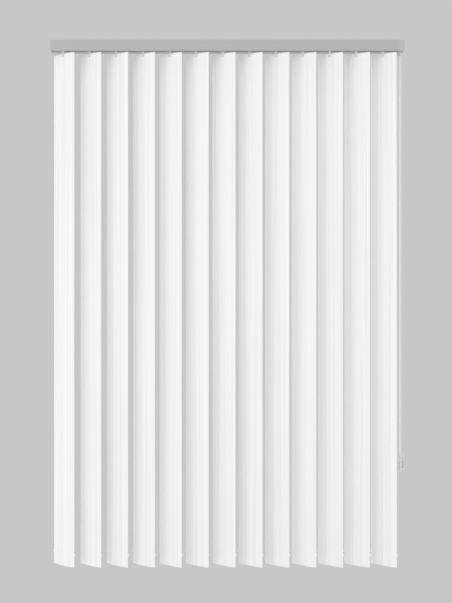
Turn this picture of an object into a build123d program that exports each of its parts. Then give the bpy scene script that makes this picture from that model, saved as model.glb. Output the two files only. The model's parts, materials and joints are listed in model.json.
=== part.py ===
"""Vertical blind for a window recess: 13 curved vanes on a headrail, worked by an endless bead chain.

Millimetres. X runs across the window to the control side, Y into the window and Z up. The origin lies on the
ceiling of the recess, midway between the screw holes of the two top-fix brackets.
"""

from build123d import *
from math import asin, cos, degrees, pi, radians, sin
import os

os.makedirs("parts", exist_ok=True)

# Layout across the window
vane_count = 13
vane_pitch = 80.0  # stem to stem with the blind drawn across
first_stem_from_end = 38.0
last_stem_to_end = 63.0
fixing_drop = 1.2  # ceiling to the top of the headrail
bracket_from_end = 90.0
running_gap = 0.3  # between pieces that pass each other
bearing_gap = 0.08  # radial, between a shaft and its bearing

# Headrail extrusion
rail_depth = 40.0
rail_height = 32.0
rail_wall = 1.5
rail_corner = 3.0
slot_width = 12.0  # opening along the underside, for the stems
slot_lip_height = 3.0
slot_lip_wall = 1.2
groove_mouth = 10.0  # T-groove along the top, for the brackets
groove_width = 20.0
groove_height = 3.0
stem_y = -7.0  # the stems and the slot, towards the room

# Tilt rod
rod_y = 3.0
rod_below_rail_top = 18.0
rod_radius = 3.0
spline_count = 3
spline_width = 1.4
spline_depth = 0.7

# Trucks that carry the stems along the headrail
truck_length = 20.0
truck_depth = 29.0
truck_top_gap = 1.5
shoe_width = 3.4
shoe_height = 4.2
shoe_chamfer = 1.2
bore_sides = 12  # of the trucks' bores and the stems in them
stem_radius = 3.0
gear_teeth = 12
gear_tip_radius = 5.5
gear_root_radius = 4.5
gear_height = 5.0

# Spacer links between the trucks, side by side in the trucks' tunnels when the blind is stacked
link_thickness = 0.5
link_height = 6.0
link_layers = 5
link_reach = 8.0  # past the middle of the next truck
link_foot_length = 4.0
link_foot_depth = 1.5
tunnel_from_rod = 5.0  # rod axis to the tunnel's front wall

# Hook below the headrail
head_width = 7.0
head_depth = 4.6
hook_below_rail = 6.7  # headrail underside to the underside of the hook's head
leg_thickness = 1.3
front_leg_length = 8.8
front_leg_width = 6.0
toe_rise = 2.6  # of the front leg's slanted end
toe_corner = 1.0
back_leg_length = 7.4
back_leg_width = 3.6
barb_width = 2.4
barb_height = 2.0
barb_below_head = 5.0

# Vane
vane_chord = 89.0
vane_sagitta = 4.5
vane_thickness = 0.8
vane_length = 1535.0
vane_turn = 39.0  # degrees from the headrail, right edge towards the room
vane_slot_width = 8.0
vane_slot_height = 3.6
ear_from_bottom = 37.0
ear_height = 6.0
ear_reach = 2.6
ear_thickness = 2.2

# Ends of the headrail
idle_cap_thickness = 5.0
plug_length = 10.0
plug_thickness = 3.0
plug_height = 20.0
idle_boss_radius = 5.5
housing_length = 10.5
cover_length = 4.5
end_chamfer = 1.0
foot_drop = 5.4  # control end below the headrail's underside
foot_under_rail = 4.5  # the foot's reach under the headrail
foot_wall = 1.1
slope_run = 5.0  # sloping lower corner of the control end
slope_rise = 7.6
end_wall = 2.2
chain_mouth = 4.4
peg_radius = 1.2
peg_length = 3.0
peg_inset = 3.6

# Bead chain and its wheel
bead_pitch = 4.2
bead_sides = 3
bead_radius = 1.9  # corner of the bead
bead_waist = 0.5
wheel_beads = 19
chain_drop_wanted = 1262.0  # wheel axis to the axis of the bottom saddle
chain_gap_to_cheek = 0.45
cheek_thickness = 0.9
cheek_rim = 1.1  # past the beads' circle
cheek_notch = 1.3
hub_radius = 5.0
stub_radius = 4.0
stub_length = 3.0
wheel_socket_depth = 6.0
connector_beads = 2
connector_radius = 1.7
connector_from_wheel = 150.0

# Chain tidy on the side wall
tidy_wall = 2.0
tidy_width = 26.0
tidy_height = 58.0
tidy_below_saddle = 15.2
tidy_cheek_height = 27.0
tidy_screw_spacing = 16.0
tidy_screw_from_top = 7.0
tidy_hole_radius = 2.1
tidy_corner = 4.0
keeper_radius = 1.8  # peg between the strands, midway between the screws
keeper_head_radius = 3.2

# Top-fix brackets
bracket_length = 25.0
bracket_depth = 30.0
bracket_foot_thickness = 2.4
bracket_hole_radius = 2.25
bracket_corner = 3.0

# Worked out from the sizes above
blind_width = first_stem_from_end + (vane_count - 1) * vane_pitch + last_stem_to_end
left_x = -blind_width / 2
right_x = blind_width / 2
stem_xs = [left_x + first_stem_from_end + i * vane_pitch for i in range(vane_count)]
rail_left = left_x + idle_cap_thickness
rail_right = right_x - housing_length - cover_length
rail_top = -fixing_drop
rail_bottom = rail_top - rail_height
rail_middle = (rail_top + rail_bottom) / 2
track_z = rail_bottom + rail_wall
rod_z = rail_top - rod_below_rail_top
groove_floor_z = rail_top - 2 * rail_wall - groove_height
truck_top = groove_floor_z - truck_top_gap
truck_bottom = track_z + slot_lip_height + 0.5
pocket_height = gear_height + 2 * running_gap
pocket_bottom = rod_z - pocket_height / 2
tunnel_width = link_layers * link_thickness + (link_layers + 1) * running_gap
tunnel_front = rod_y + tunnel_from_rod
head_bottom = rail_bottom - hook_below_rail
head_top = truck_bottom - running_gap
barb_top = head_bottom - barb_below_head
vane_top = head_bottom - running_gap
vane_slot_top = barb_top + running_gap
vane_radius = (vane_chord**2 / 4 + vane_sagitta**2) / (2 * vane_sagitta)
vane_half_angle = degrees(asin(vane_chord / 2 / vane_radius))
leg_gap = vane_thickness / 2 + running_gap
wheel_radius = wheel_beads * bead_pitch / (2 * pi)
strand_beads = round(chain_drop_wanted / bead_pitch * 2) / 2
chain_drop = strand_beads * bead_pitch
bead_count = wheel_beads + round(2 * strand_beads)
saddle_z = rod_z - chain_drop
wheel_gap = bead_radius * sin(pi / bead_sides) + chain_gap_to_cheek
chain_x = rail_right + end_wall + running_gap + cheek_thickness + wheel_gap
drum_radius = wheel_radius - bead_radius / 2 - running_gap
cavity_radius = wheel_radius + bead_radius + 2 * running_gap
chord_direction = (cos(radians(vane_turn)), -sin(radians(vane_turn)), 0)
front_direction = (-sin(radians(vane_turn)), -cos(radians(vane_turn)), 0)


def finish(built, name):
    """Names a finished piece and writes it."""
    built.part.label = name
    export_step(built.part, f"parts/{name}.step")


def level_plane(stem_x, z):
    """Level plane at a stem: X along the vane's chord, Y towards its hollow side."""
    return Plane(origin=(stem_x, stem_y, z), x_dir=chord_direction, z_dir=(0, 0, 1))


def upright_plane(stem_x, z, forward=0.0):
    """Upright plane at a stem, facing out of the vane's rounded side: X along the chord, Y up."""
    front = Vector(*front_direction)
    origin = Vector(stem_x, stem_y, z) + front * forward
    return Plane(origin=origin, x_dir=chord_direction, z_dir=front_direction)


def axle_plane(x):
    """Upright plane across the tilt rod's axis, seen from the control side: X into the window, Y up."""
    return Plane(origin=(x, rod_y, rod_z), x_dir=(0, 1, 0), z_dir=(1, 0, 0))


def tooth_points(count, tip_radius, root_radius):
    """Corners of a toothed rim: by turns at the root and at the tip."""
    points = []
    for k in range(2 * count):
        radius = tip_radius if k % 2 else root_radius
        angle = pi * k / count
        points.append((radius * cos(angle), radius * sin(angle)))
    return points


# Headrail: a closed box section with the stem slot below and the bracket groove above
with BuildPart() as headrail:
    with BuildSketch(Plane.YZ.offset(rail_left)) as rail_section:
        with Locations((0, rail_middle)):
            Rectangle(rail_depth, rail_height)
        fillet(rail_section.vertices().group_by(Axis.Y)[0], rail_corner)
        with Locations((0, rail_middle)):
            Rectangle(rail_depth - 2 * rail_wall, rail_height - 2 * rail_wall, mode=Mode.SUBTRACT)
        with Locations((0, groove_floor_z)):
            Rectangle(
                groove_width + 2 * rail_wall,
                rail_wall + groove_height,
                align=(Align.CENTER, Align.MIN),
            )
        with Locations((0, groove_floor_z + rail_wall)):
            Rectangle(groove_width, groove_height, align=(Align.CENTER, Align.MIN), mode=Mode.SUBTRACT)
        with Locations((0, rail_top)):
            Rectangle(groove_mouth, rail_wall, align=(Align.CENTER, Align.MAX), mode=Mode.SUBTRACT)
        with Locations((stem_y, rail_bottom)):
            Rectangle(
                slot_width + 2 * slot_lip_wall,
                rail_wall + slot_lip_height,
                align=(Align.CENTER, Align.MIN),
            )
            Rectangle(
                slot_width,
                rail_wall + slot_lip_height,
                align=(Align.CENTER, Align.MIN),
                mode=Mode.SUBTRACT,
            )
    extrude(amount=rail_right - rail_left)
finish(headrail, "headrail")

# Top-fix brackets: a plate on the ceiling, with a foot that grips under the lips of the headrail's groove
bracket_x = right_x - bracket_from_end
with BuildPart() as top_fix_brackets:
    with BuildSketch(Plane.XY.offset(rail_top)):
        with Locations((-bracket_x, 0), (bracket_x, 0)):
            RectangleRounded(bracket_length, bracket_depth, bracket_corner)
    extrude(amount=fixing_drop)
    with BuildSketch(Plane.XY.offset(rail_top)):
        with Locations((-bracket_x, 0), (bracket_x, 0)):
            Rectangle(bracket_length, groove_mouth - 2 * running_gap)
    extrude(amount=-rail_wall - running_gap)
    with BuildSketch(Plane.XY.offset(rail_top - rail_wall - running_gap)):
        with Locations((-bracket_x, 0), (bracket_x, 0)):
            Rectangle(bracket_length, groove_width - 2 * running_gap)
    extrude(amount=-min(bracket_foot_thickness, groove_height - 2 * running_gap))
    with Locations((-bracket_x, 0, 0), (bracket_x, 0, 0)):
        Hole(bracket_hole_radius)
finish(top_fix_brackets, "top_fix_brackets")

# Idle end cap: a thin plate with plugs that fit inside the headrail and a blind bearing for the tilt rod
plug_y = rail_depth / 2 - rail_wall - running_gap - plug_thickness / 2
with BuildPart() as idle_end_cap:
    with BuildSketch(Plane.YZ.offset(left_x)) as cap_outline:
        with Locations((0, rail_middle)):
            Rectangle(rail_depth, rail_height)
        fillet(cap_outline.vertices().group_by(Axis.Y)[0], rail_corner)
    extrude(amount=idle_cap_thickness)
    chamfer(idle_end_cap.faces().sort_by(Axis.X)[0].edges(), end_chamfer)
    with BuildSketch(Plane.YZ.offset(rail_left)):
        with Locations((-plug_y, rail_middle), (plug_y, rail_middle)):
            Rectangle(plug_thickness, plug_height)
    extrude(amount=plug_length)
    with BuildSketch(axle_plane(rail_left)):
        Circle(idle_boss_radius)
    extrude(amount=plug_length)
    with BuildSketch(axle_plane(rail_left)):
        Circle(rod_radius + bearing_gap)
    extrude(amount=plug_length, mode=Mode.SUBTRACT)
finish(idle_end_cap, "idle_end_cap")

# Tilt rod: a drawn rod with three splines cut along it
wheel_left = rail_right + running_gap
rod_right = wheel_left + wheel_socket_depth - running_gap
rod_left = rail_left + running_gap
with BuildPart() as tilt_rod:
    with BuildSketch(axle_plane(rod_left)):
        Circle(rod_radius)
        with PolarLocations(rod_radius, spline_count):
            Rectangle(2 * spline_depth, spline_width, mode=Mode.SUBTRACT)
    extrude(amount=rod_right - rod_left)
finish(tilt_rod, "tilt_rod")

# Chain wheel: a drum for the beads between two notched cheeks, with a hub and a stub that run in the ends
wheel_face = rail_right + end_wall + running_gap
wheel_inner = wheel_face + cheek_thickness
wheel_outer = wheel_inner + 2 * wheel_gap
cheek_radius = wheel_radius + cheek_rim
with BuildPart() as chain_wheel:
    with BuildSketch(axle_plane(wheel_left)):
        Circle(hub_radius)
    extrude(amount=wheel_face - wheel_left)
    for cheek_x in (wheel_face, wheel_outer):
        with BuildSketch(axle_plane(cheek_x)):
            with BuildLine():
                Polyline(*tooth_points(wheel_beads, cheek_radius, cheek_radius - cheek_notch), close=True)
            make_face()
        extrude(amount=cheek_thickness)
    with BuildSketch(axle_plane(wheel_inner)):
        Circle(drum_radius)
    extrude(amount=wheel_outer - wheel_inner)
    with BuildSketch(axle_plane(wheel_outer + cheek_thickness)):
        Circle(stub_radius)
    extrude(amount=stub_length)
    with BuildSketch(axle_plane(wheel_left)):
        Circle(rod_radius + bearing_gap)
    extrude(amount=wheel_socket_depth, mode=Mode.SUBTRACT)
finish(chain_wheel, "chain_wheel")

# Both pieces of the control end reach below the headrail in a foot, whose outer corner slopes
cover_left = rail_right + housing_length
foot_bottom = rail_bottom - foot_drop
foot_top = rail_bottom + rail_corner
mouth_ys = [rod_y - wheel_radius, rod_y + wheel_radius]
foot_front = mouth_ys[0] - chain_mouth / 2 - foot_wall
foot_back = mouth_ys[1] + chain_mouth / 2 + foot_wall
peg_places = [
    (-rail_depth / 2 + peg_inset, rail_top - peg_inset),
    (rail_depth / 2 - peg_inset, rail_top - peg_inset),
]


def foot_section(x, top):
    """Section of the control end's foot, drawn at x."""
    with BuildSketch(Plane.YZ.offset(x)) as section:
        with Locations(((foot_front + foot_back) / 2, foot_bottom)):
            Rectangle(foot_back - foot_front, top - foot_bottom, align=(Align.CENTER, Align.MIN))
    return section.sketch


with BuildSketch(Plane.XZ) as sloping_corner:
    with BuildLine():
        Polyline(
            (right_x, foot_bottom),
            (right_x - slope_run, foot_bottom),
            (right_x, foot_bottom + slope_rise),
            close=True,
        )
    make_face()

# Control housing: plugs into the headrail's right end and holds the chain wheel, open below for both strands
wall_inside = rail_right + end_wall
with BuildPart() as control_housing:
    with BuildSketch(Plane.YZ.offset(rail_right)) as housing_outline:
        with Locations((0, rail_middle)):
            Rectangle(rail_depth, rail_height)
        fillet(housing_outline.vertices().group_by(Axis.Y)[0], rail_corner)
    extrude(amount=housing_length)
    extrude(foot_section(rail_right, foot_top), amount=housing_length)
    extrude(foot_section(rail_right, rail_bottom), amount=-foot_under_rail)
    extrude(sloping_corner.sketch, amount=rail_depth, both=True, mode=Mode.SUBTRACT)
    with BuildSketch(Plane.YZ.offset(rail_right)):
        with Locations((-plug_y, rail_middle), (plug_y, rail_middle)):
            Rectangle(plug_thickness, plug_height)
    extrude(amount=-plug_length)
    with BuildSketch(axle_plane(wall_inside)):
        Circle(cavity_radius)
    extrude(amount=housing_length - end_wall, mode=Mode.SUBTRACT)
    with BuildSketch(Plane.XY.offset(foot_bottom)):
        with Locations(*[(wall_inside, y) for y in mouth_ys]):
            Rectangle(
                2 * (chain_x - wall_inside),
                chain_mouth,
                align=(Align.MIN, Align.CENTER),
            )
    extrude(amount=rod_z - foot_bottom, mode=Mode.SUBTRACT)
    with BuildSketch(axle_plane(rail_right)):
        Circle(hub_radius + bearing_gap)
    extrude(amount=end_wall, mode=Mode.SUBTRACT)
    with BuildSketch(Plane.YZ.offset(cover_left)):
        with Locations(*peg_places):
            Circle(peg_radius + bearing_gap)
    extrude(amount=-peg_length - running_gap, mode=Mode.SUBTRACT)
finish(control_housing, "control_housing")

# Control cover: closes the housing, with the wheel's outer bearing and two locating pegs
with BuildPart() as control_cover:
    with BuildSketch(Plane.YZ.offset(cover_left)) as cover_outline:
        with Locations((0, rail_middle)):
            Rectangle(rail_depth, rail_height)
        fillet(cover_outline.vertices().group_by(Axis.Y)[0], rail_corner)
    extrude(amount=cover_length)
    chamfer(control_cover.faces().sort_by(Axis.X)[-1].edges(), end_chamfer)
    extrude(foot_section(cover_left, foot_top), amount=cover_length)
    extrude(sloping_corner.sketch, amount=rail_depth, both=True, mode=Mode.SUBTRACT)
    with BuildSketch(Plane.YZ.offset(cover_left)):
        with Locations(*peg_places):
            Circle(peg_radius)
    extrude(amount=-peg_length)
    with BuildSketch(axle_plane(cover_left)):
        Circle(stub_radius + bearing_gap)
    extrude(
        amount=wheel_outer + cheek_thickness + stub_length + running_gap - cover_left,
        mode=Mode.SUBTRACT,
    )
finish(control_cover, "control_cover")


# Bead chain: one endless loop over the wheel and round the saddle, closed by a connector. Its skin is made
# face by face, each bead two three-sided cones between narrow waists, so that 600 beads stay light.
chain_length = bead_count * bead_pitch


def chain_point(s):
    """Point and direction on the loop at a length s, from the top of the rear strand downwards."""
    half_turn = pi * wheel_radius
    s = s % chain_length
    if s < chain_drop:
        return Vector(chain_x, rod_y + wheel_radius, rod_z - s), Vector(0, 0, -1)
    s -= chain_drop
    if s < half_turn:
        a = s / wheel_radius
        offset = Vector(0, wheel_radius * cos(a), -wheel_radius * sin(a))
        return Vector(chain_x, rod_y, saddle_z) + offset, Vector(0, -sin(a), -cos(a))
    s -= half_turn
    if s < chain_drop:
        return Vector(chain_x, rod_y - wheel_radius, saddle_z + s), Vector(0, 0, 1)
    a = (s - chain_drop) / wheel_radius
    offset = Vector(0, -wheel_radius * cos(a), wheel_radius * sin(a))
    return Vector(chain_x, rod_y, rod_z) + offset, Vector(0, sin(a), cos(a))


def chain_plane(s):
    """Plane across the chain at a length s, its Y towards the middle of the loop."""
    point, direction = chain_point(s)
    return Plane(origin=point, x_dir=(1, 0, 0), z_dir=direction)


def chain_ring(s, radius):
    """Corners of the chain's section at a length s, one of them on the outside of the loop."""
    angles = [2 * pi * k / bead_sides - pi / 2 for k in range(bead_sides)]
    plane = chain_plane(s)
    return [plane.from_local_coords(Vector(radius * cos(a), radius * sin(a))) for a in angles]


def skin_between(near_ring, far_ring, straight):
    """Faces from one section to the next: one on each side, or two triangles where the loop bends."""
    faces = []
    for k in range(bead_sides):
        a, b = near_ring[k - 1], near_ring[k]
        c, d = far_ring[k], far_ring[k - 1]
        outlines = [(a, b, c, d)] if straight else [(a, b, c), (a, c, d)]
        faces += [Face(Wire.make_polygon(outline)) for outline in outlines]
    return faces


connector_end = round(connector_from_wheel / bead_pitch) * bead_pitch + bead_pitch / 2
stations = [connector_end + k * bead_pitch / 2 for k in range(2 * (bead_count - connector_beads) + 1)]
rings = [chain_ring(s, bead_radius if k % 2 else bead_waist) for k, s in enumerate(stations)]
chain_skin = [Face(Wire.make_polygon(rings[0])), Face(Wire.make_polygon(rings[-1]))]
for k in range(len(rings) - 1):
    straight = chain_point(stations[k])[1] == chain_point(stations[k + 1])[1]
    chain_skin += skin_between(rings[k], rings[k + 1], straight)

with BuildPart() as bead_chain:
    add(Solid(Shell(chain_skin)))
    with BuildSketch(chain_plane(connector_end)):
        RegularPolygon(connector_radius, 2 * bead_sides)
    extrude(amount=-connector_beads * bead_pitch)
finish(bead_chain, "bead_chain")

# Chain tidy: a base screwed to the side wall, a saddle that the loop runs round, an outer cheek, and a headed
# peg between the strands
tidy_base_x = right_x - tidy_wall
tidy_cheek_x = chain_x - wheel_gap - tidy_wall
tidy_bottom = saddle_z - tidy_below_saddle
saddle_radius = drum_radius
with BuildPart() as chain_tidy:
    with BuildSketch(Plane.YZ.offset(tidy_base_x)):
        with Locations((rod_y, tidy_bottom + tidy_height / 2)):
            RectangleRounded(tidy_width, tidy_height, tidy_corner)
    extrude(amount=tidy_wall)
    with BuildSketch(Plane.YZ.offset(tidy_cheek_x)):
        with Locations((rod_y, tidy_bottom + tidy_cheek_height / 2)):
            RectangleRounded(tidy_width, tidy_cheek_height, tidy_corner)
    extrude(amount=tidy_wall)
    with BuildSketch(Plane.YZ.offset(tidy_cheek_x)):
        with Locations((rod_y, saddle_z)):
            Circle(saddle_radius)
        with Locations((rod_y, saddle_z)):
            Rectangle(
                2 * saddle_radius,
                saddle_radius,
                align=(Align.CENTER, Align.MIN),
                mode=Mode.SUBTRACT,
            )
    extrude(amount=tidy_base_x - tidy_cheek_x)
    screw_z = tidy_bottom + tidy_height - tidy_screw_from_top
    with BuildSketch(Plane.YZ.offset(tidy_cheek_x)):
        with Locations((rod_y, screw_z - tidy_screw_spacing / 2)):
            Circle(keeper_head_radius)
    extrude(amount=tidy_wall)
    with BuildSketch(Plane.YZ.offset(tidy_cheek_x)):
        with Locations((rod_y, screw_z - tidy_screw_spacing / 2)):
            Circle(keeper_radius)
    extrude(amount=tidy_base_x - tidy_cheek_x)
    with Locations(Plane.YZ.offset(right_x)):
        with Locations((rod_y, screw_z), (rod_y, screw_z - tidy_screw_spacing)):
            Hole(tidy_hole_radius, depth=tidy_wall)
finish(chain_tidy, "chain_tidy")


def make_truck(stem_x):
    """Truck: glide shoes on the headrail's tracks, the stem's bearing, the rod's bore and the link tunnel."""
    truck_left = stem_x - truck_length / 2
    shoe_y = truck_depth / 2 + shoe_width / 2
    with BuildPart() as truck:
        with BuildSketch(Plane.YZ.offset(truck_left)):
            with Locations((0, truck_bottom)):
                Rectangle(truck_depth, truck_top - truck_bottom, align=(Align.CENTER, Align.MIN))
            with Locations((-shoe_y, track_z + running_gap), (shoe_y, track_z + running_gap)):
                Rectangle(
                    shoe_width,
                    truck_bottom + shoe_height - track_z,
                    align=(Align.CENTER, Align.MIN),
                )
        extrude(amount=truck_length)
        shoe_ends = truck.faces().sort_by(Axis.Z)[:2].edges().filter_by(Axis.Y)
        chamfer(shoe_ends, shoe_chamfer)
        with BuildSketch(Plane.YZ.offset(truck_left)):
            with Locations((rod_y, rod_z)):
                RegularPolygon(rod_radius + running_gap, bore_sides, major_radius=False)
            with Locations((tunnel_front, rod_z)):
                Rectangle(
                    tunnel_width,
                    link_height + 2 * running_gap,
                    align=(Align.MIN, Align.CENTER),
                )
        extrude(amount=truck_length, mode=Mode.SUBTRACT)
        with BuildSketch(Plane.XY.offset(rod_z)):
            with Locations((stem_x, tunnel_front)):
                Rectangle(
                    link_foot_length + 2 * running_gap,
                    tunnel_width,
                    align=(Align.CENTER, Align.MIN),
                )
        extrude(amount=-link_height / 2 - link_foot_depth - 2 * running_gap, mode=Mode.SUBTRACT)
        pocket_reach = gear_tip_radius + running_gap
        with BuildSketch(Plane.XY.offset(pocket_bottom)):
            with Locations((stem_x, stem_y + pocket_reach)):
                Rectangle(
                    2 * pocket_reach,
                    stem_y + pocket_reach + truck_depth / 2,
                    align=(Align.CENTER, Align.MAX),
                )
        extrude(amount=pocket_height, mode=Mode.SUBTRACT)
        with BuildSketch(Plane.XY.offset(truck_bottom)):
            with Locations((stem_x, stem_y)):
                RegularPolygon(stem_radius + bearing_gap, bore_sides, major_radius=False)
        extrude(amount=pocket_bottom - truck_bottom, mode=Mode.SUBTRACT)
    return truck


def make_link(stem_x, layer):
    """Spacer link: a steel strip held by its foot in its own truck, reaching into the next truck's tunnel."""
    front_y = tunnel_front + running_gap + layer * (link_thickness + running_gap)
    right = stem_x + link_foot_length / 2
    left = stem_x - vane_pitch - link_reach
    with BuildPart() as link:
        with BuildSketch(Plane.XZ.offset(-front_y)):
            with Locations((right, rod_z)):
                Rectangle(right - left, link_height, align=(Align.MAX, Align.CENTER))
            with Locations((right, rod_z)):
                Rectangle(
                    link_foot_length,
                    link_height / 2 + link_foot_depth,
                    align=(Align.MAX, Align.MAX),
                )
        extrude(amount=-link_thickness)
    return link


def make_hook(stem_x):
    """Hook: geared stem, head below the headrail, and two legs that hold the vane between them."""
    with BuildPart() as hook:
        with BuildSketch(level_plane(stem_x, rod_z - gear_height / 2)):
            with BuildLine():
                Polyline(*tooth_points(gear_teeth, gear_tip_radius, gear_root_radius), close=True)
            make_face()
        extrude(amount=gear_height)
        with BuildSketch(level_plane(stem_x, head_top)):
            RegularPolygon(stem_radius, bore_sides)
        extrude(amount=rod_z - gear_height / 2 - head_top)
        with BuildSketch(level_plane(stem_x, head_bottom)):
            Rectangle(head_width, head_depth)
        extrude(amount=head_top - head_bottom)
        side = front_leg_width / 2
        with BuildSketch(upright_plane(stem_x, head_bottom, leg_gap)):
            with BuildLine():
                Polyline(
                    (-side, 0),
                    (-side, -front_leg_length + toe_corner),
                    (-side + toe_corner, -front_leg_length),
                    (0, -front_leg_length),
                    (side, -front_leg_length + toe_rise),
                    (side, 0),
                    close=True,
                )
            make_face()
        extrude(amount=leg_thickness)
        with BuildSketch(upright_plane(stem_x, head_bottom, -leg_gap)):
            Rectangle(back_leg_width, back_leg_length, align=(Align.CENTER, Align.MAX))
        extrude(amount=-leg_thickness)
        with BuildSketch(upright_plane(stem_x, barb_top, -leg_gap)):
            Rectangle(barb_width, barb_height, align=(Align.CENTER, Align.MAX))
        extrude(amount=vane_thickness + running_gap)
    return hook


def make_vane(stem_x):
    """Vane: a thin curved strip with the hook's slot near its top and link-chain ears low on both edges."""
    start = 270 - vane_half_angle
    sweep = 2 * vane_half_angle
    with BuildPart() as vane:
        with BuildSketch(level_plane(stem_x, vane_top)):
            with BuildLine():
                front = CenterArc((0, vane_radius), vane_radius + vane_thickness / 2, start, sweep)
                back = CenterArc((0, vane_radius), vane_radius - vane_thickness / 2, start, sweep)
                Line(front @ 0, back @ 0)
                Line(front @ 1, back @ 1)
            make_face()
        extrude(amount=-vane_length)
        with BuildSketch(upright_plane(stem_x, vane_slot_top)):
            Rectangle(vane_slot_width, vane_slot_height, align=(Align.CENTER, Align.MAX))
        extrude(amount=2 * vane_thickness, both=True, mode=Mode.SUBTRACT)
        ear_z = vane_top - vane_length + ear_from_bottom
        edge_u = vane_chord / 2
        with BuildSketch(level_plane(stem_x, ear_z - ear_height / 2)):
            for side in (-1, 1):
                with Locations((side * (edge_u - 0.5), vane_sagitta)):
                    Rectangle(
                        ear_reach + 0.5,
                        ear_thickness,
                        align=(Align.MIN if side > 0 else Align.MAX, Align.CENTER),
                    )
        extrude(amount=ear_height)
    return vane


for number, stem_x in enumerate(stem_xs, start=1):
    finish(make_truck(stem_x), f"carrier_{number:02d}")
    finish(make_hook(stem_x), f"hook_{number:02d}")
    finish(make_vane(stem_x), f"vane_{number:02d}")
    if number > 1:
        finish(make_link(stem_x, number % link_layers), f"link_{number:02d}")
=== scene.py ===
# %% [markdown]
# # A vertical blind
#
# A vertical blind hangs a row of curved vanes from small trucks that run inside a headrail. This notebook loads the
# blind's CAD model, in which every piece already has its real size and place, and gives each piece the surface
# that the eye meets: ribbed vinyl, satin paint, clear and white mouldings, and a chain of round beads.

# %% Load the CAD model
import json
from math import asin, cos, degrees, pi, radians, sin

import bmesh
import bpy
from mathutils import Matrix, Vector

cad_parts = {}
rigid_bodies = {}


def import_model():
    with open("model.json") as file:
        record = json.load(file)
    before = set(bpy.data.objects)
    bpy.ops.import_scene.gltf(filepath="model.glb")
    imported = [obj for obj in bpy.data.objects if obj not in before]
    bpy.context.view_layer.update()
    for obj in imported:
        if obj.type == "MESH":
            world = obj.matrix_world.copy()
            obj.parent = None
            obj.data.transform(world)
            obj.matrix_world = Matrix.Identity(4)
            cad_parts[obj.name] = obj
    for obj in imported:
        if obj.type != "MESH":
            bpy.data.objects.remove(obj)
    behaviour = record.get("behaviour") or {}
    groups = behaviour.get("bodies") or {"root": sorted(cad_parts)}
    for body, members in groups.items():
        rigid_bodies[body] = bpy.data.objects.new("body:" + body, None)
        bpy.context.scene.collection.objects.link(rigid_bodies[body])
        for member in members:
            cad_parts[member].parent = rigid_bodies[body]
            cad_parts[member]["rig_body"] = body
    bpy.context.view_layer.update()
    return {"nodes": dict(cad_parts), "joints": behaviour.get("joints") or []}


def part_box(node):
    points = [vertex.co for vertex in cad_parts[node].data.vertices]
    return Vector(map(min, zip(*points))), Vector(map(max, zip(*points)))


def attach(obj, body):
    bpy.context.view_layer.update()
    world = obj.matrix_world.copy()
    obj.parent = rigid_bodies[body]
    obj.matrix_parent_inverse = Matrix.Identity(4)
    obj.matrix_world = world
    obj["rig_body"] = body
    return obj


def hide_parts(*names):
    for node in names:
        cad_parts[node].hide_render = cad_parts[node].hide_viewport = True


mm = 0.001  # Blender reckons in metres

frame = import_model()
nodes = frame["nodes"]
stems = sorted((j for j in frame["joints"] if j["name"].startswith("tilt_")), key=lambda j: j["name"])

# %% [markdown]
# ## Camera
#
# The picture was taken square on to the blind, so upright edges stay upright and the camera needs no tilt. The
# focal length comes from perspective: the near and the far edge of each vane are drawn at slightly different
# scales. Blender gives the sensor width to the longer side of a picture, so the lens follows from that side alone.

# %% Camera at the picture's view
picture_long_side_px = 603
focal_length_px = 984
camera_place = (-0.0034, -2.960, -0.783)
sensor_width_mm = 36.0

camera_data = bpy.data.cameras.new("camera")
camera_data.sensor_width = sensor_width_mm
camera_data.lens = sensor_width_mm * focal_length_px / picture_long_side_px
camera = bpy.data.objects.new("camera", camera_data)
camera.location = camera_place
camera.rotation_euler = (pi / 2, 0, 0)  # level, and looking along +Y
bpy.context.scene.collection.objects.link(camera)
bpy.context.scene.camera = camera
bpy.context.scene.view_settings.view_transform = "Standard"
print("lens", round(camera_data.lens, 2), "mm")

# %% [markdown]
# ## Three helpers
#
# Every material and every Geometry Nodes tree below is made of nodes, so one function adds a node, sets its
# properties and fills its inputs. A second turns a colour as it is written on screens, in sRGB, into the linear
# numbers that Blender reckons with. A third starts a material whose plain values sit on the shader itself.

# %% Helpers for nodes and colours
def add_node(tree, kind, inputs=None, **settings):
    """Adds a node, sets its properties, and gives each input a value or a link from another node's output."""
    made = tree.nodes.new(kind)
    for name, value in settings.items():
        setattr(made, name, value)
    for name, value in (inputs or {}).items():
        if isinstance(value, bpy.types.NodeSocket):
            tree.links.new(value, made.inputs[name])
        else:
            made.inputs[name].default_value = value
    return made


def linear(hex_colour):
    """Turns an sRGB hex colour into linear red, green, blue and alpha."""
    channels = [int(hex_colour[i:i + 2], 16) / 255 for i in (1, 3, 5)]
    return [c / 12.92 if c <= 0.04045 else ((c + 0.055) / 1.055) ** 2.4 for c in channels] + [1.0]


def new_material(name, colour, inputs):
    """Starts a material of one glossy or matt surface, and gives it with its node tree and shader."""
    material = bpy.data.materials.new(name)
    material.use_nodes = True
    tree = material.node_tree
    tree.nodes.clear()
    shader = add_node(tree, "ShaderNodeBsdfPrincipled", {"Base Color": linear(colour), **inputs})
    add_node(tree, "ShaderNodeOutputMaterial", {"Surface": shader.outputs["BSDF"]})
    return material, tree, shader


print("white is", linear("#ffffff"))

# %% [markdown]
# ## Vinyl of the vanes
#
# Each vane is rigid PVC, pushed hot through a die and cooled in its curve. PVC has an IOR of about 1.53 and the die
# leaves a satin surface with very faint lines along the vane. A wave texture would draw them too evenly, so a
# noise is stretched instead: fine across the vane and about a metre long along it. Die lines move the relief and the
# gloss. Wider streaks, where the melt ran faster or slower, move the colour by a hair. The sheet is not quite
# opaque, and a little subsurface scattering keeps its shaded side from going dead.

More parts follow.
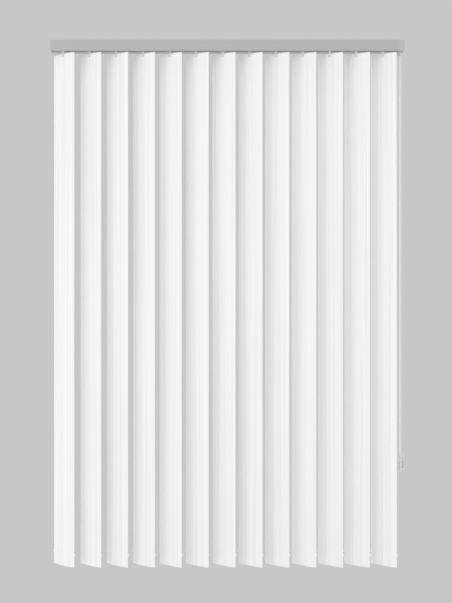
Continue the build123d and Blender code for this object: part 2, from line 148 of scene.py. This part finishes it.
# %% Material: extruded satin white PVC
vane_turn = radians(39)
die_line_width = 1.2 * mm
die_line_depth = 0.12 * mm
streak_width = 3.5 * mm  # drawn about twice as wide as the real streaks, which would not show
streak_tones = ((0.35, "#ebecee"), (0.55, "#f6f6f7"))

vinyl, tree, shader = new_material("extruded_satin_white_pvc", "#f4f4f6", {
    "Roughness": 0.42,
    "IOR": 1.53,
    "Subsurface Weight": 0.15,
    "Subsurface Radius": (2 * mm, 2 * mm, 2 * mm),
    "Subsurface Scale": 1.0,
})
place = add_node(tree, "ShaderNodeTexCoord").outputs["Object"]


def lines_along_vane(tree, place, width):
    """A noise of lines of the given width that run up the vane."""
    squeezed = add_node(tree, "ShaderNodeMapping", {
        "Vector": place,
        "Rotation": (0, 0, vane_turn),
        "Scale": (1 / width, 1 / width, 1.0),
    })
    lines = add_node(tree, "ShaderNodeTexNoise", {"Vector": squeezed.outputs["Vector"], "Scale": 1.0, "Detail": 3.0})
    return lines.outputs["Fac"]


die_lines = lines_along_vane(tree, place, die_line_width)
relief = add_node(tree, "ShaderNodeBump", {"Height": die_lines, "Strength": 0.3, "Distance": die_line_depth})
tree.links.new(relief.outputs["Normal"], shader.inputs["Normal"])
gloss = add_node(tree, "ShaderNodeMapRange", {"Value": die_lines, "To Min": 0.34, "To Max": 0.52}).outputs["Result"]
tree.links.new(gloss, shader.inputs["Roughness"])
tone = add_node(tree, "ShaderNodeValToRGB", {"Fac": lines_along_vane(tree, place, streak_width)})
for stop, (position, colour) in zip(tone.color_ramp.elements, streak_tones):
    stop.position, stop.color = position, linear(colour)
tree.links.new(tone.outputs["Color"], shader.inputs["Base Color"])
print("made", vinyl.name)

# %% [markdown]
# ## Paint of the headrail
#
# The headrail is extruded aluminium with a satin polyester powder coat. The eye sees a light grey with a soft sheen,
# and the slight orange peel that powder leaves when it melts. The coat hides the metal, so the shader is not
# metallic. A glossy coat could be layered over a colour, but satin powder is one layer, so a bump from noise about
# 2 mm across is all it needs.

# %% Material: powder-coated aluminium
peel_size = 2 * mm
peel_depth = 0.1 * mm

rail_paint, tree, shader = new_material("powder_coated_aluminium", "#b6b6b8", {"Roughness": 0.4, "IOR": 1.5})
place = add_node(tree, "ShaderNodeTexCoord").outputs["Object"]
peel = add_node(tree, "ShaderNodeTexNoise", {"Vector": place, "Scale": 1 / peel_size, "Detail": 1.0}).outputs["Fac"]
relief = add_node(tree, "ShaderNodeBump", {"Height": peel, "Strength": 0.3, "Distance": peel_depth})
tree.links.new(relief.outputs["Normal"], shader.inputs["Normal"])
print("made", rail_paint.name)

# %% [markdown]
# ## Moulded plastics
#
# The ends of the headrail are ABS with a spark-eroded texture, which looks like very fine leather. The beads are
# white acetal, harder and glossier, like the trucks and the wheel. The hooks and the chain tidy are clear
# polycarbonate: thin clear mouldings look milky and catch light along their edges, so part of the light is
# transmitted and part is scattered. All differ in a few values and in the grain of their texture, so one function
# makes them.

# %% Materials: moulded plastics
def moulded_plastic(name, colour, inputs, grain, depth):
    """A moulded plastic with the fine grain that its mould leaves."""
    material, tree, shader = new_material(name, colour, inputs)
    place = add_node(tree, "ShaderNodeTexCoord").outputs["Object"]
    speckle = add_node(tree, "ShaderNodeTexNoise", {"Vector": place, "Scale": 1 / grain, "Detail": 2.0})
    relief = add_node(tree, "ShaderNodeBump", {
        "Height": speckle.outputs["Fac"],
        "Strength": 0.3,
        "Distance": depth,
    })
    tree.links.new(relief.outputs["Normal"], shader.inputs["Normal"])
    print("made", name)
    return material


end_abs = moulded_plastic(
    "spark_textured_abs", "#bdbdbf", {"Roughness": 0.5, "IOR": 1.53}, grain=0.8 * mm, depth=0.1 * mm)
bead_acetal = moulded_plastic(
    "white_acetal", "#f8f8f6", {"Roughness": 0.28, "IOR": 1.48}, grain=2 * mm, depth=0.03 * mm)
natural_acetal = moulded_plastic(
    "natural_acetal", "#e4e4df", {"Roughness": 0.38, "IOR": 1.48}, grain=1.5 * mm, depth=0.05 * mm)
clear_polycarbonate = moulded_plastic(
    "clear_polycarbonate", "#f0f1f2", {"Roughness": 0.2, "IOR": 1.58, "Transmission Weight": 0.25},
    grain=3 * mm, depth=0.02 * mm)

# %% [markdown]
# ## Metals in and on the headrail
#
# The tilt rod is drawn aluminium, the spacer links are bright spring steel and the brackets are zinc plated. Each is
# a metal, so its colour is the colour of its reflection and its IOR stays at the default. Drawing and rolling leave
# lines along the piece, which here all run along X: a noise squeezed across X and stretched along it.

# %% Materials: drawn and plated metals
lines_per_metre = 10.0  # along the piece, where the lines are long
gloss_spread = 0.08


def drawn_metal(name, colour, roughness, line_width):
    """A bright metal with the lines of drawing or rolling along X."""
    material, tree, shader = new_material(name, colour, {"Metallic": 1.0})
    place = add_node(tree, "ShaderNodeTexCoord").outputs["Object"]
    along = add_node(tree, "ShaderNodeMapping", {
        "Vector": place,
        "Scale": (lines_per_metre, 1 / line_width, 1 / line_width),
    }).outputs["Vector"]
    lines = add_node(tree, "ShaderNodeTexNoise", {"Vector": along, "Scale": 1.0, "Detail": 3.0}).outputs["Fac"]
    gloss = add_node(tree, "ShaderNodeMapRange", {
        "Value": lines,
        "To Min": roughness - gloss_spread,
        "To Max": roughness + gloss_spread,
    })
    tree.links.new(gloss.outputs["Result"], shader.inputs["Roughness"])
    print("made", name)
    return material


rod_aluminium = drawn_metal("drawn_aluminium", "#d9dadb", 0.3, line_width=0.4 * mm)
link_steel = drawn_metal("rolled_spring_steel", "#c4c5c8", 0.25, line_width=0.3 * mm)
bracket_zinc = drawn_metal("zinc_plated_steel", "#cfd2d4", 0.35, line_width=2 * mm)

# %% [markdown]
# ## Growing pieces with Geometry Nodes
#
# A vane follows a rule, and a chain repeats a bead along a path, so both are grown by Geometry Nodes. One function
# starts a tree with named inputs for its sizes. One ends it: instances are only pointers to one mesh, so they are made
# real, and the material is set on them.

# %% Helpers to start and end a tree
def new_tree(name, sizes):
    """Starts a tree with one named input for each size, and gives the tree and those inputs."""
    tree = bpy.data.node_groups.new(name, "GeometryNodeTree")
    tree.interface.new_socket("Geometry", in_out="OUTPUT", socket_type="NodeSocketGeometry")
    tree.interface.new_socket("Geometry", in_out="INPUT", socket_type="NodeSocketGeometry")
    for label, size in sizes.items():
        kind = "NodeSocketInt" if isinstance(size, int) else "NodeSocketFloat"
        tree.interface.new_socket(label, in_out="INPUT", socket_type=kind)
    return tree, add_node(tree, "NodeGroupInput").outputs


def end_tree(tree, geometry, material):
    """Ends a tree: its instances become real mesh and take the material."""
    real = add_node(tree, "GeometryNodeRealizeInstances", {"Geometry": geometry}).outputs["Geometry"]
    dressed = add_node(tree, "GeometryNodeSetMaterial", {"Geometry": real, "Material": material})
    add_node(tree, "NodeGroupOutput", {"Geometry": dressed.outputs["Geometry"]})


print("a tree can be started and ended")

# %% [markdown]
# A tree runs as a modifier on a host object. Its inputs are filled by their identifiers, since that is how the modifier
# stores them. The modifier could stay live, but a piece that moves with a body and is exported has to be a plain mesh,
# so the result is kept as one and the host goes.

# %% Helper to run a tree
crease_angle = radians(35)  # a sharper edge stays sharp to the eye, a flatter one is shaded round


def shade(mesh):
    """Shades a mesh smooth, but keeps its creases."""
    mesh.shade_smooth()
    mesh.set_sharp_from_angle(angle=crease_angle)


def grow(name, tree, sizes, host):
    """Runs a tree on host data, and gives the result as an object with a plain mesh."""
    holder = bpy.data.objects.new(name + "_host", host)
    modifier = holder.modifiers.new("grow", "NODES")
    modifier.node_group = tree
    for item in tree.interface.items_tree:
        if item.in_out == "INPUT" and item.name in sizes:
            modifier[item.identifier] = sizes[item.name]
    bpy.context.scene.collection.objects.link(holder)
    evaluated = holder.evaluated_get(bpy.context.evaluated_depsgraph_get())
    mesh = bpy.data.meshes.new_from_object(evaluated)
    bpy.data.objects.remove(holder)
    shade(mesh)
    piece = bpy.data.objects.new(name, mesh)
    bpy.context.scene.collection.objects.link(piece)
    return piece


print("creases over", round(degrees(crease_angle)), "degrees stay sharp")

# %% [markdown]
# ## Vanes
#
# A vane is a strip of vinyl, 89 mm wide and 0.8 mm thick, with a shallow curve that keeps it stiff, fine ribs down
# its rounded face, a punched slot for the hook, and an ear low on each edge for the link chain. It could be modelled
# once and copied, but a rule says it all: start from a flat grid, give it thickness, then bend it by moving each
# point to its place on an arc. The rib is a small wave added to the radius of the front layer, so the ribs are real
# shape and catch light at any angle.

# %% Sizes of a vane
vane_low, vane_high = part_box("vane_01")
chord = 89 * mm
sagitta = 4.5 * mm
arc_radius = (chord**2 / 4 + sagitta**2) / (2 * sagitta)
rib_count = 12  # about half as many as the real ribs, which would be narrower than the picture can show
steps_per_rib = 10
slot_from_top = 4.4 * mm
slot_height = 3.6 * mm
ear_reach = 2.6 * mm
ear_overlap = 0.5 * mm
vane_rows = ("Bottom", "Slot Bottom", "Slot Top", "Top")

vane_sizes = {
    "Arc Radius": arc_radius,
    "Half Angle": asin(chord / 2 / arc_radius),
    "Thickness": 0.8 * mm,
    "Columns": rib_count * steps_per_rib + 1,
    "Rib Count": float(rib_count),
    "Rib Height": 0.5 * mm,
    "Top": vane_high.z,
    "Bottom": vane_low.z,
    "Slot Top": vane_high.z - slot_from_top,
    "Slot Bottom": vane_high.z - slot_from_top - slot_height,
    "Slot Width": 8 * mm,
    "Sagitta": sagitta,
    "Ear Middle": chord / 2 + (ear_reach - ear_overlap) / 2,
    "Ear Length": ear_reach + ear_overlap,
    "Ear Thickness": 2.2 * mm,
    "Ear Height": 6 * mm,
    "Ear From Bottom": 37 * mm,
    "Stem X": 0.0,  # each vane gets its own stem's place below
    "Stem Y": 0.0,
}
print("vane", round(vane_high.z - vane_low.z, 4), "m long, arc radius", round(arc_radius, 4))

# %% [markdown]
# The flat grid has one column for each step across the ribs and four rows: bottom, slot bottom, slot top and top. Its
# sides are 1 long, and only the bend gives it real sizes, so the slot's faces are found by how far along the arc they
# will lie. A Boolean could punch the slot out of the finished vane, but would leave long thin faces in the ribs.

# %% Tree: the flat sheet and where its slot is
vane_tree, size = new_tree("ribbed_vane", vane_sizes)
grid = add_node(vane_tree, "GeometryNodeMeshGrid", {
    "Size X": 1.0,
    "Size Y": 1.0,
    "Vertices X": size["Columns"],
    "Vertices Y": len(vane_rows),
}).outputs["Mesh"]
flat_place = add_node(vane_tree, "GeometryNodeInputPosition").outputs["Position"]
flat = add_node(vane_tree, "ShaderNodeSeparateXYZ", {"Vector": flat_place}).outputs
whole_angle = add_node(vane_tree, "ShaderNodeMath", {0: size["Half Angle"], 1: 2.0}, operation="MULTIPLY")
turn_here = add_node(vane_tree, "ShaderNodeMath", {0: flat["X"], 1: whole_angle.outputs[0]},
                     operation="MULTIPLY")
arc_here = add_node(vane_tree, "ShaderNodeMath", {0: turn_here.outputs[0], 1: size["Arc Radius"]},
                    operation="MULTIPLY")
from_middle = add_node(vane_tree, "ShaderNodeMath", {0: arc_here.outputs[0]}, operation="ABSOLUTE")
half_slot = add_node(vane_tree, "ShaderNodeMath", {0: size["Slot Width"], 1: 2.0}, operation="DIVIDE")
in_width = add_node(vane_tree, "ShaderNodeMath", {0: from_middle.outputs[0], 1: half_slot.outputs[0]},
                    operation="LESS_THAN")
# Three bands of faces lie between the four rows, and the middle of the slot's band is at 0.
in_band = add_node(vane_tree, "ShaderNodeMath", {0: flat["Y"], 1: 0.0, 2: 0.1}, operation="COMPARE")
in_slot = add_node(vane_tree, "ShaderNodeMath", {0: in_width.outputs[0], 1: in_band.outputs[0]},
                   operation="MULTIPLY")
print("sheet has", len(vane_rows), "rows and", vane_sizes["Columns"], "columns")

# %% [markdown]
# The faces in the slot are deleted and the sheet is extruded to a slab. Extruding leaves the starting side open, so a
# flipped copy of the flat sheet closes it, and the doubled points along its rim are merged.

# %% Tree: the slab, cut out and thickened
unit_slab_weld = 0.0001  # the slab is still 1 by 1, and its columns are some 80 times as far apart

sheet = add_node(vane_tree, "GeometryNodeDeleteGeometry", {
    "Geometry": grid,
    "Selection": in_slot.outputs[0],
}, domain="FACE").outputs["Geometry"]
raised = add_node(vane_tree, "GeometryNodeExtrudeMesh", {
    "Mesh": sheet,
    "Offset": (0.0, 0.0, 1.0),
    "Individual": False,
}).outputs["Mesh"]
underside = add_node(vane_tree, "GeometryNodeFlipFaces", {"Mesh": sheet}).outputs["Mesh"]
both_sides = add_node(vane_tree, "GeometryNodeJoinGeometry")
vane_tree.links.new(raised, both_sides.inputs[0])
vane_tree.links.new(underside, both_sides.inputs[0])
slab = add_node(vane_tree, "GeometryNodeMergeByDistance", {
    "Geometry": both_sides.outputs["Geometry"],
    "Distance": unit_slab_weld,
}).outputs["Geometry"]
print("slab tree has", len(vane_tree.nodes), "nodes")

# %% [markdown]
# Now the slab is bent. X, from -0.5 to 0.5, becomes an angle on the arc, and Z, 0 or 1, becomes the back or the front
# layer. First comes each point's distance from the middle of the arc. The wave of the ribs is multiplied by Z, so
# that only the front has it.

# %% Tree: angle and radius of each point
slab_place = add_node(vane_tree, "GeometryNodeInputPosition").outputs["Position"]
at = add_node(vane_tree, "ShaderNodeSeparateXYZ", {"Vector": slab_place}).outputs
angle = add_node(vane_tree, "ShaderNodeMath", {0: at["X"], 1: whole_angle.outputs[0]},
                 operation="MULTIPLY").outputs[0]
wave_turns = add_node(vane_tree, "ShaderNodeMath", {0: size["Rib Count"], 1: pi}, operation="MULTIPLY")
from_edge = add_node(vane_tree, "ShaderNodeMath", {0: at["X"], 1: 0.5}, operation="ADD")
phase = add_node(vane_tree, "ShaderNodeMath", {0: from_edge.outputs[0], 1: wave_turns.outputs[0]},
                 operation="MULTIPLY")
wave = add_node(vane_tree, "ShaderNodeMath", {0: phase.outputs[0]}, operation="SINE")
ridge = add_node(vane_tree, "ShaderNodeMath", {0: wave.outputs[0]}, operation="ABSOLUTE")
rib = add_node(vane_tree, "ShaderNodeMath", {0: ridge.outputs[0], 1: size["Rib Height"]}, operation="MULTIPLY")
skin = add_node(vane_tree, "ShaderNodeMath", {0: rib.outputs[0], 1: size["Thickness"]}, operation="ADD")
layer = add_node(vane_tree, "ShaderNodeMath", {0: at["Z"], 1: skin.outputs[0]}, operation="MULTIPLY")
half_sheet = add_node(vane_tree, "ShaderNodeMath", {0: size["Thickness"], 1: 2.0}, operation="DIVIDE")
inner = add_node(vane_tree, "ShaderNodeMath", {0: size["Arc Radius"], 1: half_sheet.outputs[0]},
                 operation="SUBTRACT")
radius = add_node(vane_tree, "ShaderNodeMath", {0: inner.outputs[0], 1: layer.outputs[0]},
                  operation="ADD").outputs[0]
print("with the ribs it has", len(vane_tree.nodes), "nodes")

# %% [markdown]
# Sine and cosine turn the angle and the radius into a place across the vane and a depth. Y, from -0.5 to 0.5, picks
# one of the four heights by its row number, so the slot's rows can lie anywhere.

# %% Tree: the bent place of each point
sine = add_node(vane_tree, "ShaderNodeMath", {0: angle}, operation="SINE")
cosine = add_node(vane_tree, "ShaderNodeMath", {0: angle}, operation="COSINE")
sideways = add_node(vane_tree, "ShaderNodeMath", {0: radius, 1: sine.outputs[0]}, operation="MULTIPLY")
reach = add_node(vane_tree, "ShaderNodeMath", {0: radius, 1: cosine.outputs[0]}, operation="MULTIPLY")
depth = add_node(vane_tree, "ShaderNodeMath", {0: size["Arc Radius"], 1: reach.outputs[0]}, operation="SUBTRACT")
last_row = len(vane_rows) - 1
row = add_node(vane_tree, "ShaderNodeMath", {0: at["Y"], 1: float(last_row), 2: last_row / 2},
               operation="MULTIPLY_ADD")
row_number = add_node(vane_tree, "FunctionNodeFloatToInt", {"Float": row.outputs[0]})
height = add_node(vane_tree, "GeometryNodeIndexSwitch", data_type="FLOAT")
while len(height.index_switch_items) < len(vane_rows):
    height.index_switch_items.new()
vane_tree.links.new(row_number.outputs["Integer"], height.inputs["Index"])
for socket, label in enumerate(vane_rows, start=1):
    vane_tree.links.new(size[label], height.inputs[socket])
bent_place = add_node(vane_tree, "ShaderNodeCombineXYZ", {
    "X": sideways.outputs[0],
    "Y": depth.outputs[0],
    "Z": height.outputs["Output"],
})
bent = add_node(vane_tree, "GeometryNodeSetPosition", {
    "Geometry": slab,
    "Position": bent_place.outputs["Vector"],
}).outputs["Geometry"]
print("with the bend it has", len(vane_tree.nodes), "nodes")

# %% [markdown]
# The ears are one small block, rounded by a subdivision with creased edges, and set on both edges by instancing it on
# the two ends of a line. The whole vane is then turned and carried to its stem.

# %% Tree: ears, and the place of the vane
ear_block_size = add_node(vane_tree, "ShaderNodeCombineXYZ", {
    "X": size["Ear Length"],
    "Y": size["Ear Thickness"],
    "Z": size["Ear Height"],
})
ear_block = add_node(vane_tree, "GeometryNodeMeshCube", {"Size": ear_block_size.outputs["Vector"]})
ear = add_node(vane_tree, "GeometryNodeSubdivisionSurface", {
    "Mesh": ear_block.outputs["Mesh"],
    "Level": 2,
    "Edge Crease": 0.75,
})
ear_z = add_node(vane_tree, "ShaderNodeMath", {0: size["Bottom"], 1: size["Ear From Bottom"]}, operation="ADD")
left_ear_x = add_node(vane_tree, "ShaderNodeMath", {0: size["Ear Middle"], 1: -1.0}, operation="MULTIPLY")
ends = []
for x in (left_ear_x.outputs[0], size["Ear Middle"]):
    corner = {"X": x, "Y": size["Sagitta"], "Z": ear_z.outputs[0]}
    ends.append(add_node(vane_tree, "ShaderNodeCombineXYZ", corner).outputs["Vector"])
ear_line = add_node(vane_tree, "GeometryNodeMeshLine", {
    "Count": 2,
    "Start Location": ends[0],
    "Offset": ends[1],
}, mode="END_POINTS")
ears = add_node(vane_tree, "GeometryNodeInstanceOnPoints", {
    "Points": ear_line.outputs["Mesh"],
    "Instance": ear.outputs["Mesh"],
})
vane_parts = add_node(vane_tree, "GeometryNodeJoinGeometry")
vane_tree.links.new(bent, vane_parts.inputs[0])
vane_tree.links.new(ears.outputs["Instances"], vane_parts.inputs[0])
stem_place = add_node(vane_tree, "ShaderNodeCombineXYZ", {"X": size["Stem X"], "Y": size["Stem Y"]})
placed = add_node(vane_tree, "GeometryNodeTransform", {
    "Geometry": vane_parts.outputs["Geometry"],
    "Translation": stem_place.outputs["Vector"],
    "Rotation": (0.0, 0.0, -vane_turn),
})
end_tree(vane_tree, placed.outputs["Geometry"], vinyl)

# %% [markdown]
# One tree makes all the vanes. Each rides on the body that turns with its own stem, so each becomes a mesh of its own
# and stands for one CAD vane.

# %% The vanes
for stem in stems:
    number = stem["name"][-2:]
    vane_sizes["Stem X"], vane_sizes["Stem Y"] = stem["pos_m"][:2]
    vane = grow(f"ribbed_vane_{number}", vane_tree, vane_sizes, bpy.data.meshes.new("empty"))
    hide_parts(f"vane_{number}")
    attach(vane, f"louvre_{number}")
print(len(stems), "vanes with", len(vane.data.polygons), "faces each")

# %% [markdown]
# ## Bead chain
#
# The chain that turns the vanes is a cord with hard beads moulded on it every 4.2 mm, joined into a loop by a snap
# connector. Its path is two straight strands and two half circles, over the wheel and round the tidy. Modelling 620
# beads by hand is hopeless, and an array along a curve squeezes them, so the path is a curve, resampled to exactly
# one point for each bead, with a round bead of a few dozen faces on each.

# %% Path of the chain
bead_pitch = 4.2 * mm
beads_on_wheel = 19
beads_on_strand = 300.5
bead_count = round(beads_on_wheel + 2 * beads_on_strand)
wheel_radius = beads_on_wheel * bead_pitch / (2 * pi)
drop = beads_on_strand * bead_pitch
chain_low, chain_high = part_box("bead_chain")
chain_x = (chain_low.x + chain_high.x) / 2
axle = next(Vector(j["pos_m"]) for j in frame["joints"] if j["name"] == "chain_drive")
saddle_z = axle.z - drop
arc_steps = 24

path_points = []
for middle_z, side in ((saddle_z, 1), (axle.z, -1)):
    for step in range(arc_steps + 1):
        swing = pi * step / arc_steps
        y = axle.y + side * wheel_radius * cos(swing)
        z = middle_z - side * wheel_radius * sin(swing)
        path_points.append((chain_x, y, z))
path_points.insert(0, path_points.pop())  # the rear strand comes first, from the top down

loop = bpy.data.curves.new("chain_path", "CURVE")
loop.dimensions = "3D"
spline = loop.splines.new("POLY")
spline.points.add(len(path_points) - 1)
for point, place in zip(spline.points, path_points):
    point.co = (*place, 1.0)
spline.use_cyclic_u = True
print(bead_count, "beads, loop", round(bead_count * bead_pitch, 3), "m long")

# %% [markdown]
# The bead tree reads that curve. Each point carries a bead, apart from the two that sit inside the connector, and the
# same points carry the cord, so the cord runs through the middle of every bead.

# %% Tree: beads on the path
connector_at = 35.5  # in beads from the start of the path, so beads 35 and 36 are inside it
chain_sizes = {
    "Beads": bead_count,
    "Bead Radius": 1.75 * mm,
    "Cord Radius": 0.55 * mm,
    "Connector At": connector_at,
    "Connector Reach": 0.6,  # in beads too, so the next ones on either side stay
    "Connector Radius": 1.75 * mm,
    "Connector Length": 2 * bead_pitch,
}
bead_tree, size = new_tree("beads_on_a_loop", chain_sizes)
points = add_node(bead_tree, "GeometryNodeResampleCurve", {
    "Curve": size["Geometry"],
    "Count": size["Beads"],
}).outputs["Curve"]
bead = add_node(bead_tree, "GeometryNodeMeshUVSphere", {"Segments": 8, "Rings": 6, "Radius": size["Bead Radius"]})
bead_number = add_node(bead_tree, "GeometryNodeInputIndex").outputs["Index"]
hidden = add_node(bead_tree, "ShaderNodeMath", {
    0: bead_number,
    1: size["Connector At"],
    2: size["Connector Reach"],
}, operation="COMPARE")
shown = add_node(bead_tree, "ShaderNodeMath", {0: 1.0, 1: hidden.outputs[0]}, operation="SUBTRACT")
beads = add_node(bead_tree, "GeometryNodeInstanceOnPoints", {
    "Points": points,
    "Selection": shown.outputs[0],
    "Instance": bead.outputs["Mesh"],
})
round_profile = add_node(bead_tree, "GeometryNodeCurvePrimitiveCircle", {
    "Resolution": 6,
    "Radius": size["Cord Radius"],
})
cord = add_node(bead_tree, "GeometryNodeCurveToMesh", {
    "Curve": points,
    "Profile Curve": round_profile.outputs["Curve"],
})
print("beads and cord take", len(bead_tree.nodes), "nodes")

# %% [markdown]
# The connector is a small barrel over the place of the two missing beads, on the rear strand. That strand runs straight
# up, so the barrel needs no turning.

# %% Tree: the connector, and the whole chain
barrel = add_node(bead_tree, "GeometryNodeMeshCylinder", {
    "Vertices": 16,
    "Radius": size["Connector Radius"],
    "Depth": size["Connector Length"],
})
connector_place = (chain_x, axle.y + wheel_radius, axle.z - connector_at * bead_pitch)
connector = add_node(bead_tree, "GeometryNodeTransform", {
    "Geometry": barrel.outputs["Mesh"],
    "Translation": connector_place,
})
chain_parts = add_node(bead_tree, "GeometryNodeJoinGeometry")
for part in (connector.outputs["Geometry"], cord.outputs["Mesh"], beads.outputs["Instances"]):
    bead_tree.links.new(part, chain_parts.inputs[0])
end_tree(bead_tree, chain_parts.outputs["Geometry"], bead_acetal)

chain = grow("round_bead_chain", bead_tree, chain_sizes, loop)
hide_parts("bead_chain")
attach(chain, "root")
print("chain has", len(chain.data.polygons), "faces")

# %% [markdown]
# ## Softened edges
#
# Real mouldings and extrusions have no knife edges: a tool leaves a radius of a few tenths of a millimetre, and that
# radius is what catches the light along an edge. Where the CAD shape is right, a copy of it is welded, its flat
# triangles are joined into whole faces, and its sharp edges get a narrow bevel. Subdivision would round them too, but
# it would also pull the long flat faces out of shape.

# %% Helper: a copy with softened edges
weld_distance = 0.01 * mm
flat_within = radians(1)
edge_from = radians(40)


def soften(node, name, edge, material):
    """Copies a CAD node, rounds its sharp edges and gives the copy a material."""
    mesh = nodes[node].data.copy()
    shape = bmesh.new()
    shape.from_mesh(mesh)
    bmesh.ops.remove_doubles(shape, verts=shape.verts, dist=weld_distance)
    bmesh.ops.dissolve_limit(shape, angle_limit=flat_within, verts=shape.verts, edges=shape.edges)
    shape.to_mesh(mesh)
    shape.free()
    piece = bpy.data.objects.new(name, mesh)
    bpy.context.scene.collection.objects.link(piece)
    bevel = piece.modifiers.new("soft_edges", "BEVEL")
    bevel.width = edge
    bevel.segments = 2
    bevel.limit_method = "ANGLE"
    bevel.angle_limit = edge_from
    evaluated = piece.evaluated_get(bpy.context.evaluated_depsgraph_get())
    piece.data = bpy.data.meshes.new_from_object(evaluated)
    piece.modifiers.clear()
    piece.data.materials.clear()
    piece.data.materials.append(material)
    shade(piece.data)
    return piece


print("edges over", round(degrees(edge_from)), "degrees are softened")

# %% [markdown]
# The copy then stands for its CAD node: it hides the node, takes its name and material, and rides on the same body.

# %% Helper: the copy in its CAD node's place
def stand_in(node, name, edge, material):
    """Puts a softened copy in the place of its CAD node, on the same body."""
    piece = soften(node, name, edge, material)
    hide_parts(node)
    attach(piece, nodes[node]["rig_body"])
    print(name, "has", len(piece.data.polygons), "faces")


# %% [markdown]
# The headrail has the crisp edge of an extrusion die under paint. The ends and the tidy are mouldings and are
# rounder. The hooks are tiny, so their radius is small too.

# %% Headrail, ends, tidy and hooks
stand_in("headrail", "painted_headrail", 0.25 * mm, rail_paint)
stand_in("top_fix_brackets", "plated_brackets", 0.3 * mm, bracket_zinc)
for node in ("idle_end_cap", "control_housing", "control_cover"):
    stand_in(node, f"moulded_{node}", 0.35 * mm, end_abs)
stand_in("chain_tidy", "moulded_chain_tidy", 0.4 * mm, clear_polycarbonate)
for stem in stems:
    number = stem["name"][-2:]
    stand_in(f"hook_{number}", f"moulded_hook_{number}", 0.2 * mm, clear_polycarbonate)

# %% [markdown]
# The trucks, links, rod and wheel are inside, seen only past the headrail's slot and ends, and their CAD shapes are
# right as they stand. They keep them and only take their materials.

# %% Pieces inside the headrail
inside = {"carrier": natural_acetal, "link": link_steel, "tilt_rod": rod_aluminium, "chain_wheel": natural_acetal}
for start, material in inside.items():
    dressed = [node for name, node in nodes.items() if name.startswith(start)]
    for node in dressed:
        for holder in node.material_slots:
            holder.material = material
    print(start, "takes", material.name, "on", len(dressed), "nodes")

# %% [markdown]
# ## Floor
#
# The blind hangs, so the floor lies well below it and only shows from above. It is a plain disc of pale matt paint: a
# backdrop that curves up would hide the blind from behind.

# %% Floor
floor_z = -2.2
floor_radius = 1.6
floor_sides = 96
shape = bmesh.new()
bmesh.ops.create_circle(shape, cap_ends=True, segments=floor_sides, radius=floor_radius)
floor_mesh = bpy.data.meshes.new("floor")
shape.to_mesh(floor_mesh)
shape.free()
floor = bpy.data.objects.new("floor", floor_mesh)
floor.location = (0, 0, floor_z)
bpy.context.scene.collection.objects.link(floor)
floor_paint, tree, shader = new_material("matt_studio_floor", "#dfe0e2", {"Roughness": 0.9})
floor_mesh.materials.append(floor_paint)
print("floor at", floor_z)

# %% [markdown]
# ## Background and light
#
# White vanes would be lost on a white background, so the camera and the reflections see a pale grey one. To
# everything else it is a soft white sky, which gives most of the light, so the grey takes none away.

# %% Background
sky_level = 0.947
world = bpy.data.worlds.new("studio")
world.use_nodes = True
bpy.context.scene.world = world
tree = world.node_tree
tree.nodes.clear()
ray = add_node(tree, "ShaderNodeLightPath").outputs
seen = add_node(tree, "ShaderNodeMath", {0: ray["Is Camera Ray"], 1: ray["Is Glossy Ray"]}, operation="MAXIMUM")
direct = add_node(tree, "ShaderNodeMath", {0: seen.outputs[0], 1: ray["Is Transmission Ray"]}, operation="MAXIMUM")
soft_sky = add_node(tree, "ShaderNodeBackground", {"Color": linear("#fcfdff"), "Strength": sky_level})
backdrop = add_node(tree, "ShaderNodeBackground", {"Color": linear("#c7c7ca"), "Strength": 1.0})
mixed = add_node(tree, "ShaderNodeMixShader", {
    0: direct.outputs[0],
    1: soft_sky.outputs["Background"],
    2: backdrop.outputs["Background"],
})
add_node(tree, "ShaderNodeOutputWorld", {"Surface": mixed.outputs["Shader"]})
print("sky at", sky_level, "of white")

# %% [markdown]
# One broad lamp from the front left meets the vanes face on, and each vane throws a soft shade on the far edge of the
# next. A small lamp nearby would be simpler, but it would light the nearest vanes more and draw hard shadows.

# %% Lamp
lamp_power = 27.0
lamp_size = (3.0, 2.7)
lamp_distance = 4.5
lamp_side = radians(42)
lamp_fall = 0.05  # of the distance, below what it aims at
aim_at = Vector((0, 0, -1.0))

lamp_data = bpy.data.lights.new("soft_box", "AREA")
lamp_data.energy = lamp_power
lamp_data.shape = "RECTANGLE"
lamp_data.size, lamp_data.size_y = lamp_size
lamp = bpy.data.objects.new("soft_box", lamp_data)
lamp.location = aim_at + lamp_distance * Vector((-sin(lamp_side), -cos(lamp_side), -lamp_fall))
lamp.rotation_euler = (aim_at - lamp.location).to_track_quat("-Z", "Y").to_euler()
bpy.context.scene.collection.objects.link(lamp)
print("lamp of", lamp_power, "W at", [round(v, 2) for v in lamp.location])
